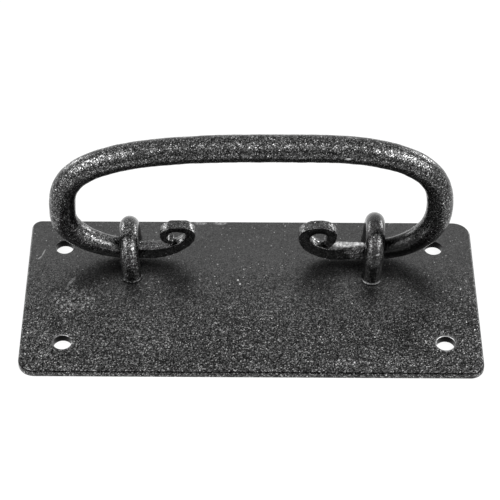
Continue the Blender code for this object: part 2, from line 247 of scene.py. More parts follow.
@dataclass
class Wiring:
    """Adds nodes to a shader's node tree and joins them."""

    tree: Tree

    def feed(self, target: Socket, source: Socket | float | tuple) -> None:
        """Join a socket to an input, or set the input to a plain value.

        Args:
            target: The input.
            source: The socket or the value.
        """
        if isinstance(source, Socket):
            self.tree.links.new(source, target)
        else:
            target.default_value = source

    def node(self, kind: str, inputs: dict | None = None,
             **settings: object) -> bpy.types.Node:
        """Add a node, set its properties and feed its inputs.

        Args:
            kind: The node's type, without its first word ShaderNode.
            inputs: What feeds each input, by the input's name or number.
            settings: The node's properties.

        Returns:
            The new node.
        """
        made = self.tree.nodes.new("ShaderNode" + kind)
        for key, value in settings.items():
            setattr(made, key, value)
        for key, source in (inputs or {}).items():
            self.feed(made.inputs[key], source)
        return made

    def math(self, operation: str, *values: Socket | float, clamp: bool = False) -> Socket:
        """Add a Math node and return its result."""
        inputs = dict(enumerate(values))
        return self.node("Math", inputs, operation=operation, use_clamp=clamp).outputs[0]

    def ranged(self, value: Socket, first: float, last: float, low: float = 0.0,
               high: float = 1.0, smooth: bool = False) -> Socket:
        """Turn a value's stretch from low to high into one from first to last.

        Args:
            value: The value's socket.
            first: The result at low and below.
            last: The result at high and above.
            low: The value that becomes first.
            high: The value that becomes last.
            smooth: Whether the result eases in and out.

        Returns:
            The result's socket.
        """
        made = self.node("MapRange", {"Value": value, "From Min": low, "From Max": high,
                                      "To Min": first, "To Max": last},
                         interpolation_type="SMOOTHSTEP" if smooth else "LINEAR")
        return made.outputs["Result"]

    def noise(self, vector: Socket, scale: Socket | float, detail: float,
              roughness: float) -> Socket:
        """Add a Noise Texture.

        Args:
            vector: The place on the piece.
            scale: How many lumps a metre has.
            detail: How many finer layers it has.
            roughness: How strong the finer layers are.

        Returns:
            Its value's socket, from 0 to 1.
        """
        made = self.node("TexNoise", {"Vector": vector, "Scale": scale, "Detail": detail,
                                      "Roughness": roughness})
        return made.outputs["Fac"]


class GroupWiring(Wiring):
    """The wiring of one new shader node group with named sockets."""

    def __init__(self, name: str, vectors: tuple[str, ...], numbers: tuple[str, ...]) -> None:
        """Start the group.

        Args:
            name: The group's name.
            vectors: The names of the inputs that take a vector.
            numbers: The names of the inputs that take a number.
        """
        super().__init__(bpy.data.node_groups.new(name, "ShaderNodeTree"))
        for kind, names in (("NodeSocketVector", vectors), ("NodeSocketFloat", numbers)):
            for socket in names:
                self.tree.interface.new_socket(socket, in_out="INPUT", socket_type=kind)
        self.given = self.tree.nodes.new("NodeGroupInput").outputs
        self.result = self.tree.nodes.new("NodeGroupOutput").inputs

    def give(self, name: str, source: Socket) -> None:
        """Give the group an output that a socket inside it feeds."""
        self.tree.interface.new_socket(name, in_out="OUTPUT", socket_type="NodeSocketFloat")
        self.feed(self.result[name], source)


def make_grain_group() -> Tree:
    """The coat's fine metallic grain.

    Returns:
        A group that takes Vector, Grain (grains in a metre), Spread (how much the grains
        differ) and Share (how many grains are flecks), and gives Tone (a grain's paleness,
        about 1), Cloud (slow changes from 0 to 1) and Height.
    """
    group = GroupWiring("powder_grain", ("Vector",), ("Grain", "Spread", "Share"))
    vector, grain = group.given["Vector"], group.given["Grain"]
    cells = group.node("TexVoronoi", {"Vector": vector, "Scale": grain}, feature="F1")
    lottery = group.node("SeparateColor", {"Color": cells.outputs["Color"]}).outputs
    drawn = group.math("ADD", lottery["Red"], lottery["Green"])
    even = group.math("MULTIPLY_ADD", drawn, DRAW_SPREAD, -DRAW_SPREAD)
    tone = group.math("EXPONENT", group.math("MULTIPLY", even, group.given["Spread"]))
    fleck = group.math("GREATER_THAN", lottery["Blue"],
                       group.math("SUBTRACT", 1.0, group.given["Share"]))
    paler = group.math("MULTIPLY_ADD", fleck, FLECK_EXTRA, 1.0)
    lumps = group.math("MULTIPLY", grain, RELIEF_SHARE)
    group.give("Tone", group.math("MULTIPLY", tone, paler))
    group.give("Cloud", group.noise(vector, CLOUDS_PER_METRE, detail=4.0, roughness=0.55))
    group.give("Height", group.noise(vector, lumps, detail=3.0, roughness=0.6))
    return group.tree


def make_coat_spot_group() -> Tree:
    """A spot on the coat: rubbed or scraped wear, painted shade or painted highlight, or where the
    coat is calm.

    Returns:
        A group that takes Vector, Middle, Reach (its half sizes in metres), Turn (its angle
        about Z), Streak (how fine its scratches are), Cover (how much shows between them) and
        Strength, and gives how much of the spot shows, from 0 to 1.
    """
    group = GroupWiring("rubbed_spot", ("Vector", "Middle", "Reach"),
                        ("Turn", "Streak", "Cover", "Strength"))
    given = group.given
    offset = group.node("VectorMath", {0: given["Vector"], 1: given["Middle"]},
                        operation="SUBTRACT").outputs["Vector"]
    turned = group.node("VectorRotate", {"Vector": offset, "Angle": given["Turn"]},
                        rotation_type="Z_AXIS", invert=True).outputs["Vector"]
    scaled = group.node("VectorMath", {0: turned, 1: given["Reach"]},
                        operation="DIVIDE").outputs["Vector"]
    length = group.node("VectorMath", {0: scaled}, operation="LENGTH").outputs["Value"]
    near = group.ranged(group.math("SUBTRACT", 1.0, length), 0.0, 1.0, 0.0, SPOT_EDGE, smooth=True)
    streaks = group.noise(given["Vector"], given["Streak"], detail=3.0, roughness=0.7)
    scratched = group.ranged(streaks, 0.0, 1.0, *SCRATCH_EDGE, smooth=True)
    broken = group.math("MAXIMUM", scratched, given["Cover"])
    shown = group.math("MULTIPLY", near, broken)
    group.give("Rub", group.math("MULTIPLY", shown, given["Strength"]))
    return group.tree


@dataclass(frozen=True)
class Rub:
    """One spot on the coat: rubbed wear, painted shade or painted highlight, or where the coat is
    calm.

    Its grey takes on the coat's grain where it is grainy, and a strength past 1 gives it a
    sharp edge.
    """

    middle: Triple
    reach: Triple
    strength: float
    streak: float = 900.0
    cover: float = 0.0
    grey: float = 0.6
    turn: float = 0.0
    grainy: bool = False

    def mask(self, wires: Wiring, coat_spot_group: Tree, place: Socket) -> Socket:
        """Add the spot to a material.

        Args:
            wires: The material's wiring.
            coat_spot_group: The shared group for spots of wear and of painted shade and highlight.
            place: The place on the piece.

        Returns:
            How much of the spot shows, from 0 to 1.
        """
        return wires.node("Group", {
            "Vector": place, "Middle": self.middle, "Reach": self.reach, "Turn": self.turn,
            "Streak": self.streak, "Cover": self.cover, "Strength": self.strength,
        }, node_tree=coat_spot_group).outputs["Rub"]


@dataclass(frozen=True)
class PowderCoat:
    """A black metallic powder coat: a grey, the differences of its grains, and spots of wear and of
    painted shade and highlight.

    Where it is calm, its grains differ less, its grey is multiplied by shine and its roughness
    by sleek.
    """

    name: str
    grey: float
    spread: float
    roughness: float
    grain: float
    relief: float
    calm: Rub
    wear_and_painted_light: tuple[Rub, ...]
    share: float = 0.02
    sleek: float = 1.0
    shine: float = 1.0
    painted_rear_light: float = 1.0
    rim_shade: float = 1.0

    def material(self, grain_group: Tree, coat_spot_group: Tree) -> bpy.types.Material:
        """Build the coat's material.

        Args:
            grain_group: The shared powder grain.
            coat_spot_group: The shared group for spots of wear and of painted shade and highlight.

        Returns:
            The new material.
        """
        material = bpy.data.materials.new(self.name)
        material.use_nodes = True
        wires = Wiring(material.node_tree)
        place = wires.node("TexCoord").outputs["Object"]
        parts = wires.node("SeparateXYZ", {"Vector": place}).outputs
        calm = self.calm.mask(wires, coat_spot_group, place)
        grain = wires.node("Group", {
            "Vector": place, "Grain": self.grain,
            "Spread": wires.ranged(calm, self.spread, 0.0),
            "Share": wires.ranged(calm, self.share, CALM_FLECKS * self.share),
        }, node_tree=grain_group).outputs

        colour = grain["Tone"]
        dimmest, palest = (tone * self.grey for tone in CLOUD_TONES)
        off_line = wires.math("ABSOLUTE", wires.math("SUBTRACT", parts["Z"], RIM_SHADE_LINE))
        for factor in (wires.ranged(grain["Cloud"], dimmest, palest, *CLOUD_EDGE),
                       # painted light: the coat made paler towards the rear
                       wires.ranged(parts["Y"], 1.0, self.painted_rear_light, *REAR_LIGHT_EDGE),
                       wires.ranged(calm, 1.0, self.shine),
                       # painted shade: a dark line under the plate's rim
                       wires.ranged(off_line, self.rim_shade, 1.0, *RIM_SHADE_EDGE)):
            colour = wires.math("MULTIPLY", colour, factor, clamp=True)
        for spot in self.wear_and_painted_light:
            colour = wires.node("Mix", {
                "Factor": spot.mask(wires, coat_spot_group, place), MIX_FIRST: colour,
                MIX_SECOND: self._spot_colour(wires, spot, grain["Tone"]),
            }, data_type="RGBA").outputs[MIX_RESULT]

        rough = wires.ranged(grain["Cloud"], self.roughness - CLOUD_ROUGHNESS,
                             self.roughness + CLOUD_ROUGHNESS, *CLOUD_EDGE)
        bump = wires.node("Bump", {"Distance": self.relief, "Strength": 1.0,
                                   "Height": grain["Height"]})
        shader = wires.tree.nodes["Principled BSDF"].inputs
        wires.feed(shader["Base Color"], colour)
        wires.feed(shader["Metallic"], 1.0)
        wires.feed(shader["Roughness"],
                   wires.math("MULTIPLY", rough, wires.ranged(calm, 1.0, self.sleek)))
        wires.feed(shader["Normal"], bump.outputs["Normal"])
        return material

    @staticmethod
    def _spot_colour(wires: Wiring, spot: Rub, tone: Socket) -> Socket | tuple:
        """The colour of one spot.

        Args:
            wires: The material's wiring.
            spot: The spot.
            tone: The paleness of the coat's grains.

        Returns:
            A plain grey, or a socket where the spot is grainy.
        """
        if not spot.grainy:
            return (spot.grey, spot.grey, spot.grey, 1.0)
        palest = min(PALEST_TONE, 1.0 / spot.grey)
        return wires.ranged(tone, 0.0, palest * spot.grey, 0.0, palest)


# Bars

# A change smaller than this is left out, as an angle or as a share.
NO_CHANGE = 1e-5
OVAL_POINTS = 400
# A flattened side reaches a little past the diagonal, so that a corner belongs to two sides.
SIDE_REACH = math.radians(46.0)
# The blows that round a corner: how far to either side they reach and what they leave of it.
CORNER_BLOWS = ((math.radians(5.0), 0.90), (math.radians(20.0), 0.92))
SMALLEST_TIP = 0.2


@dataclass
class Stretch:
    """One stretch of a bar's middle line, with the thickness and the depth that it ends in."""

    points: np.ndarray
    step: float
    thickness: float
    depth: float


@dataclass
class DrawnBar:
    """A bar drawn out of one ring of vertices by extruding, turning and resizing it."""

    name: str
    plane: Plane
    sides: int = 24
    item: Piece = field(init=False)
    place: Vector = field(init=False)
    heading: float = field(init=False)
    thickness: float = field(init=False)
    depth: float = field(init=False)

    def begin(self, place: Vector, heading: float, diameter: float, capped: bool) -> None:
        """Add the first ring.

        Args:
            place: The ring's middle.
            heading: The way the bar sets off, as an angle up from level in its plane.
            diameter: The bar's diameter there.
            capped: Whether the bar's end is closed.
        """
        turn = ((0.0, QUARTER_TURN - heading, 0.0) if self.plane is Plane.FRONT
                else (heading - QUARTER_TURN, 0.0, 0.0))
        self.item = add_primitive(
            bpy.ops.mesh.primitive_circle_add, self.name, vertices=self.sides,
            radius=diameter / 2, fill_type="NGON" if capped else "NOTHING", location=place,
            rotation=turn)
        start_edit(self.item)
        self.place, self.heading = place.copy(), heading
        self.thickness = self.depth = diameter

    def lean_back(self, angle: float) -> None:
        """Turn the last ring about the bar's own way, which has to be level along X there."""
        # With no window the operator turns clockwise about +X, so the top leans towards +Y.
        bpy.ops.transform.rotate(value=angle, orient_axis="X", center_override=self.place)

    def draw_to(self, place: Vector, heading: float, thickness: float, depth: float) -> None:
        """Extrude the last ring to a new place, turn it and resize it.

        Args:
            place: The new ring's middle.
            heading: The bar's way there, as an angle up from level in its plane.
            thickness: The bar's size in its plane.
            depth: The bar's size across its plane.
        """
        in_front = self.plane is Plane.FRONT
        bpy.ops.mesh.extrude_region_move(TRANSFORM_OT_translate={"value": place - self.place})
        swing = heading - self.heading
        if abs(swing) > NO_CHANGE:
            # With no window the operator turns clockwise about +X and +Y.
            bpy.ops.transform.rotate(value=swing if in_front else -swing,
                                     orient_axis=self.plane.value, center_override=place)
        grow, deepen = thickness / self.thickness, depth / self.depth
        if max(abs(grow - 1), abs(deepen - 1)) > NO_CHANGE:
            size = (grow, deepen, grow) if in_front else (deepen, grow, grow)
            bpy.ops.transform.resize(value=size, center_override=place)
        self.place, self.heading = place.copy(), heading
        self.thickness, self.depth = thickness, depth

    def square_up(self, thickness: float, depth: float) -> None:
        """Forge the last ring square: flatten its four sides, then knock its rear corners round.

        The bar has to run level along X there.

        Args:
            thickness: The square's height.
            depth: The square's size from front to back.
        """
        mesh = bmesh.from_edit_mesh(self.item.data)
        angles = {vertex.index: math.atan2(vertex.co.z - self.place.z,
                                           vertex.co.y - self.place.y)
                  for vertex in mesh.verts if vertex.select}
        for axis, half, middle in ((2, thickness / 2, QUARTER_TURN), (1, depth / 2, 0.0)):
            for sign, facing in ((1, middle), (-1, middle - math.pi)):
                self._pick(angles, facing, SIDE_REACH)
                flat = Vector(self.place)
                flat[axis] += sign * half
                size = [1.0, 1.0, 1.0]
                size[axis] = 0.0
                bpy.ops.transform.resize(value=size, center_override=flat)
        for facing in (QUARTER_TURN / 2, -QUARTER_TURN / 2):
            for reach, size in CORNER_BLOWS:
                self._pick(angles, facing, reach)
                bpy.ops.transform.resize(value=(1.0, size, size), center_override=self.place)
        self._pick(angles, 0.0, math.pi)
        self.thickness, self.depth = thickness, depth

    def _pick(self, angles: dict[int, float], facing: float, reach: float) -> None:
        """Select the ring's vertices that lie within reach of a facing.

        Args:
            angles: Each vertex's angle round the bar, from +Y towards +Z.
            facing: The angle in the middle.
            reach: How far to either side of it a vertex may lie.
        """
        bpy.ops.mesh.select_all(action="DESELECT")
        mesh = bmesh.from_edit_mesh(self.item.data)
        mesh.verts.ensure_lookup_table()
        for index, angle in angles.items():
            if abs(math.remainder(angle - facing, 2 * math.pi)) <= reach + ROUNDING:
                mesh.verts[index].select_set(True)
        mesh.select_flush_mode()
        bmesh.update_edit_mesh(self.item.data)

    def close_tip(self, chamfer: float) -> None:
        """Chamfer the tip of a bar bent in the front plane, and close it.

        Args:
            chamfer: The chamfer's size.
        """
        way = Vector((math.cos(self.heading), 0.0, math.sin(self.heading)))
        narrow, shallow = (max(SMALLEST_TIP, 1 - 2 * chamfer / size)
                           for size in (self.thickness, self.depth))
        self.draw_to(self.place + way * chamfer, self.heading, self.thickness * narrow,
                     self.depth * shallow)
        bpy.ops.mesh.edge_face_add()


def quarter_oval(start: tuple[float, float], end: tuple[float, float], level_start: bool,
                 fullness: float = 2.0, swing: float = QUARTER_TURN) -> np.ndarray:
    """Points of a quarter oval in a bar's plane.

    Args:
        start: Where it starts, as (along, up).
        end: Where it ends.
        level_start: Whether it leaves its start level, or upright.
        fullness: 2 for an ellipse, and more for a squarer bend.
        swing: How far it turns before it reaches its end.

    Returns:
        The points, one to a row.
    """
    turned_by = np.linspace(0.0, swing, OVAL_POINTS)
    gained = np.sin(turned_by) ** (2 / fullness)
    left = 1 - np.cos(turned_by) ** (2 / fullness)
    share = np.stack([gained, left] if level_start else [left, gained], axis=1)
    return np.array(start) + (np.array(end) - np.array(start)) * (share / share[-1])


def respaced(points: np.ndarray, step: float) -> np.ndarray:
    """The same line with points about a step apart, both ends kept.

    Args:
        points: The line's points.
        step: How far apart the new points are, about.

    Returns:
        The new points.
    """
    lengths = np.concatenate([[0.0], np.cumsum(np.linalg.norm(np.diff(points, axis=0), axis=1))])
    count = max(1, int(round(lengths[-1] / step)))
    at = np.linspace(0.0, lengths[-1], count + 1)
    return np.stack([np.interp(at, lengths, points[:, k]) for k in range(2)], axis=1)


# Bail

# An edge that turns by more than this is a crisp corner, and how crisp it stays when smoothed.
CORNER_ANGLE = math.radians(60.0)
CORNER_CREASE = 0.35


@dataclass(frozen=True)
class CurlSizes:
    """The rolled end of one half of the bail, measured along its middle line."""

    start_from_staple: float
    root: float
    side: float
    top: float
    back: float
    tip: float
    run: float
    side_height: float
    top_height: float
    top_setback: float
    width: float
    back_height: float
    tip_run: float
    tip_swing: float


@dataclass(frozen=True)
class HalfSizes:
    """One half of the bail, from the crown to the tip of its curl."""

    side: Side
    staple: float
    belly: float
    belly_height: float
    upper_fullness: float
    lower_fullness: float
    lean: float
    curl: CurlSizes


LEFT_CURL = CurlSizes(
    start_from_staple=5.1 * MM, root=4.7 * MM, side=3.4 * MM, top=2.1 * MM, back=2.6 * MM,
    tip=1.5 * MM, run=17.0 * MM, side_height=9.5 * MM, top_height=12.2 * MM,
    top_setback=5.05 * MM, width=10.15 * MM, back_height=8.3 * MM, tip_run=3.4 * MM,
    tip_swing=math.radians(85.0))

RIGHT_CURL = CurlSizes(
    start_from_staple=13.0 * MM, root=5.3 * MM, side=4.2 * MM, top=2.9 * MM, back=3.6 * MM,
    tip=2.6 * MM, run=12.3 * MM, side_height=8.2 * MM, top_height=12.05 * MM,
    top_setback=5.7 * MM, width=10.3 * MM, back_height=9.0 * MM, tip_run=1.9 * MM,
    tip_swing=math.radians(45.0))

HALVES = (
    HalfSizes(Side.LEFT, LEFT_STAPLE, belly=68.6 * MM, belly_height=18.0 * MM,
              upper_fullness=3.15, lower_fullness=2.0, lean=math.radians(5.0), curl=LEFT_CURL),
    HalfSizes(Side.RIGHT, RIGHT_STAPLE, belly=68.7 * MM, belly_height=22.3 * MM,
              upper_fullness=2.6, lower_fullness=2.2, lean=math.radians(22.0), curl=RIGHT_CURL),
)


@dataclass
class Bail:
    """The swinging bail, drawn from its crown down both halves and joined at the crown."""

    node: str = "bail"
    height: float = 50.6 * MM
    crown_offset: float = 19.0 * MM
    grip: float = 10.1 * MM
    belly: float = 9.75 * MM
    journal: float = 7.6 * MM
    root_depth: float = 5.4 * MM
    curl_depth: float = 4.8 * MM
    tip_gap: float = 0.4 * MM
    tip_chamfer: float = 0.5 * MM
    square_before_foot: float = 1.8 * MM
    untwist_steps: int = 3
    bar_step: float = 1.5 * MM
    curl_step: float = 0.9 * MM
    faces: Hammering = Hammering(0.25 * MM, 5.0 * MM)
    facets: Hammering = Hammering(0.40 * MM, 2.4 * MM)
    scale_grain: Hammering = Hammering(0.14 * MM, 0.8 * MM)

    def build(self) -> Piece:
        """Draw both halves, join them and dent the bar.

        Returns:
            The finished bail.
        """
        drawn = [self._draw_half(half) for half in HALVES]
        pick_only(drawn[0])
        drawn[1].select_set(True)
        bpy.ops.object.join()
        bail = bpy.context.object
        bail.name = "forged_bail"
        start_edit(bail)
        bpy.ops.mesh.remove_doubles(threshold=SAME_PLACE)
        face_outwards()
        end_edit()
        modify(bail, "smooth", "SUBSURF", levels=2, render_levels=2)
        self._mark_forged(bail)
        self.faces.strike(bail, "hammer_faces")
        self.facets.strike(bail, "hammer_facets", "forged")
        self.scale_grain.strike(bail, "scale_grain")
        shade_smooth(bail, degrees=60.0)
        return bail

    def _mark_forged(self, bail: Piece) -> None:
        """Put the bar's forged ends, inside the staples, in a vertex group.

        Args:
            bail: The joined bail.
        """
        inner = LEFT_STAPLE - STAPLE_ROD / 2
        forged = [vertex.index for vertex in bail.data.vertices
                  if abs(vertex.co.x) < inner and vertex.co.z < self.height / 2]
        bail.vertex_groups.new(name="forged").add(forged, 1.0, "REPLACE")

    def _draw_half(self, half: HalfSizes) -> Piece:
        """Draw one half as a bar of its own, open at the crown.

        Args:
            half: The half's sizes.

        Returns:
            The half bail.
        """
        bar = DrawnBar("bail_" + half.side.name.lower(), Plane.FRONT)
        rounded, squared = self._stretches(half)
        line, sizes = self._line(rounded, self.grip, self.grip)
        bar.begin(self._place(half, line[0]), self._turned(half, 0.0), self.grip, capped=False)
        self._follow(bar, half, line, sizes)
        bar.square_up(half.curl.root, self.root_depth)
        bar.lean_back(half.lean)
        line, sizes = self._line(squared, half.curl.root, self.root_depth)
        root = half.staple - half.curl.start_from_staple
        level = int(np.count_nonzero(line[:, 0] >= root - ROUNDING))
        self._follow(bar, half, line, sizes, range(max(1, level - self.untwist_steps), level))
        bar.close_tip(self.tip_chamfer)
        self._crease_corners(bar)
        end_edit()
        return bar.item

    def _follow(self, bar: DrawnBar, half: HalfSizes, line: np.ndarray, sizes: np.ndarray,
                untwist: range = range(0)) -> None:
        """Draw a bar along a line.

        Args:
            bar: The bar, which stands at the line's first point.
            half: The half that it belongs to.
            line: The line's points, in the half's own frame.
            sizes: The thickness and the depth at each point.
            untwist: The numbers of the points where the bar's lean is taken back.
        """
        along = np.gradient(line, axis=0)
        headings = np.unwrap(np.arctan2(along[:, 1], along[:, 0]))
        for index in range(1, len(line)):
            bar.draw_to(self._place(half, line[index]), self._turned(half, headings[index]),
                        *sizes[index])
            if index in untwist:
                bar.lean_back(-half.lean / len(untwist))

    def _stretches(self, half: HalfSizes) -> tuple[list[Stretch], list[Stretch]]:
        """A half's middle line in its own frame, where along grows away from the middle.

        Args:
            half: The half's sizes.

        Returns:
            The round stretches and the square ones.
        """
        curl, deep = half.curl, self.curl_depth
        crown = (half.side.value * self.crown_offset, self.height)
        belly = (half.belly, half.belly_height)
        foot = (half.staple - STAPLE_ROD / 2, 0.0)
        lower = quarter_oval(belly, foot, False, half.lower_fullness)
        inside = int(np.argmax(lower[:, 0] < foot[0] + self.square_before_foot))
        rounded = [
            Stretch(quarter_oval(crown, belly, True, half.upper_fullness), self.bar_step,
                    self.belly, self.belly),
            Stretch(lower[:inside + 1], self.bar_step, self.journal, self.journal),
        ]
        root = (half.staple - curl.start_from_staple, 0.0)
        side = (root[0] - curl.run, curl.side_height)
        top = (side[0] + curl.top_setback, curl.top_height)
        back = (side[0] + curl.width, curl.back_height)
        rise = quarter_oval(root, side, True)
        tip = self._tip_place(curl, back[0] - curl.tip_run, rise)
        squared = [
            Stretch(np.array([lower[inside], foot]), self.curl_step, curl.root, self.root_depth),
            Stretch(np.array([foot, root]), self.bar_step, curl.root, self.root_depth),
            Stretch(rise, self.curl_step, curl.side, deep),
            Stretch(quarter_oval(side, top, False), self.curl_step, curl.top, deep),
            Stretch(quarter_oval(top, back, True), self.curl_step, curl.back, deep),
            Stretch(quarter_oval(back, tip, False, swing=curl.tip_swing), self.curl_step,
                    curl.tip, deep),
        ]
        return rounded, squared

    def _tip_place(self, curl: CurlSizes, along: float, rise: np.ndarray) -> tuple[float, float]:
        """Where a curl's tip ends, a gap above the bar that rises below it.

        Args:
            curl: The curl's sizes.
            along: How far the tip is from the pull's middle.
            rise: The middle line of the rising bar.

        Returns:
            The tip's place, as (along, up).
        """
        corner = along + curl.tip / 2 * math.cos(curl.tip_swing)
        below = int(np.argmax(rise[:, 0] < corner))
        step = rise[below] - rise[below - 1]
        slope = np.linalg.norm(step) / abs(step[0])
        return along, (rise[below, 1] + curl.root / 2 * slope + self.tip_gap
                       + curl.tip / 2 * math.sin(curl.tip_swing))

    @staticmethod
    def _line(stretches: list[Stretch], thickness: float,
              depth: float) -> tuple[np.ndarray, np.ndarray]:
        """Join stretches into one line with a thickness and a depth at every point.

        Args:
            stretches: The stretches in order.
            thickness: The thickness that the line starts with.
            depth: The depth that it starts with.

        Returns:
            The points, and the thickness and depth at each.
        """
        points = [stretches[0].points[:1]]
        sizes = [np.array([(thickness, depth)])]
        for stretch in stretches:
            line = respaced(stretch.points, stretch.step)[1:]
            share = (np.arange(len(line)) + 1) / len(line)
            ease = (share * share * (3 - 2 * share))[:, None]
            target = np.array((stretch.thickness, stretch.depth))
            sizes.append(sizes[-1][-1] * (1 - ease) + target * ease)
            points.append(line)
        return np.concatenate(points), np.concatenate(sizes)

    @staticmethod
    def _place(half: HalfSizes, point: np.ndarray) -> Vector:
        """A point of a half's line as a place in the model."""
        along, up = (float(number) for number in point)
        return Vector((half.side.value * along, AXIS_Y, AXIS_Z + up))

    @staticmethod
    def _turned(half: HalfSizes, heading: float) -> float:
        """A heading in the half's own frame as an angle in the model's front view."""
        return float(heading) if half.side is Side.RIGHT else math.pi - float(heading)

    @staticmethod
    def _crease_corners(bar: DrawnBar) -> None:
        """Crease the square bar's crisp corners, so that they stay crisp when smoothed.

        Args:
            bar: The bar in edit mode.
        """
        bpy.ops.mesh.select_mode(type="EDGE")
        bpy.ops.mesh.select_all(action="DESELECT")
        mesh = bmesh.from_edit_mesh(bar.item.data)
        for edge in mesh.edges:
            if len(edge.link_faces) == 2 and edge.calc_face_angle() > CORNER_ANGLE:
                edge.select_set(True)
        bmesh.update_edit_mesh(bar.item.data)
        bpy.ops.transform.edge_crease(value=CORNER_CREASE)


# Staples


@dataclass
class Staple:
    """One staple, drawn from its front rivet head over the arch to its rear rivet head."""

    node: str
    side: Side
    from_middle: float
    leg_spacing: float
    leg_length: float
    toe_in: float = math.radians(2.0)
    lean: float = math.radians(3.5)
    foot: float = PLATE_TOP + 0.3 * MM
    flare: float = 0.5 * MM
    flare_steps: tuple[float, ...] = (0.08, 0.3, 0.6, 1.0)
    shoulder: float = 1.8 * MM
    tenon: float = 5.0 * MM
    head: float = 7.6 * MM
    edge: float = 0.12 * MM
    arch_steps: int = 26
    faces: Hammering = Hammering(0.10 * MM, 4.0 * MM)

    def build(self) -> Piece:
        """Draw the staple and dent it.

        Returns:
            The finished staple.
        """
        bar = DrawnBar(self.node + "_bar", Plane.END)
        profile = self._leg_profile()
        half = self.leg_spacing / 2
        radius, height = profile[0]
        bar.begin(self._place(-half, height), QUARTER_TURN, 2 * radius, capped=True)
        for radius, height in profile[1:]:
            bar.draw_to(self._place(-half, height), QUARTER_TURN, 2 * radius, 2 * radius)
        for step in range(1, self.arch_steps):
            angle = math.pi * step / self.arch_steps
            over = self._place(-half * math.cos(angle), height + half * math.sin(angle))
            bar.draw_to(over, QUARTER_TURN - angle, STAPLE_ROD, STAPLE_ROD)
        for radius, height in reversed(profile):
            bar.draw_to(self._place(half, height), -QUARTER_TURN, 2 * radius, 2 * radius)
        face_outwards()
        # With no window the operator turns clockwise about +Z.
        bpy.ops.transform.rotate(value=self.side.value * self.toe_in, orient_axis="Z",
                                 center_override=self._place(0.0, 0.0))
        end_edit()
        modify(bar.item, "smooth", "SUBSURF", levels=2, render_levels=2)
        self.faces.strike(bar.item, self.node + "_faces")
        shade_smooth(bar.item, degrees=60.0)
        bar.item.name = "forged_" + self.node
        return bar.item

    def _leg_profile(self) -> list[tuple[float, float]]:
        """The outline of one leg.

        Returns:
            (radius, height) pairs from the tenon's hammered end up to the arch.
        """
        tenon, head, rod = self.tenon / 2, self.head / 2, STAPLE_ROD / 2
        profile = [
            (head - self.edge, 0.0),
            (head, self.edge),
            (tenon + self.edge, HEAD_DEPTH - self.edge),
            (tenon, HEAD_DEPTH + self.edge),
            (tenon, self.foot - self.edge),
            (tenon + self.edge, self.foot),
            (rod + self.flare - self.edge, self.foot),
        ]
        for rise in self.flare_steps:
            profile.append((rod + self.flare * (1 - rise) ** 2, self.foot + rise * self.shoulder))
        profile.append((rod, PLATE_TOP + self.leg_length))
        return profile

    def _place(self, along: float, height: float) -> Vector:
        """A point of the staple's own plane as a place in the model, with its lean."""
        outwards = self.from_middle + math.tan(self.lean) * max(0.0, height - self.foot)
        return Vector((self.side.value * outwards, AXIS_Y + along, height))


STAPLES = (
    Staple("staple_left", Side.LEFT, LEFT_STAPLE, leg_spacing=19.3 * MM, leg_length=3.3 * MM),
    Staple("staple_right", Side.RIGHT, RIGHT_STAPLE, leg_spacing=20.3 * MM,
           leg_length=5.1 * MM),
)


# Back plate


@dataclass(frozen=True)
class CornerSizes:
    """One corner of the plate: its rounding, its screw hole's place and how far it juts out."""

    x: int
    y: int
    radius: float
    hole_from_end: float
    hole_from_side: float
    jut: tuple[float, float]


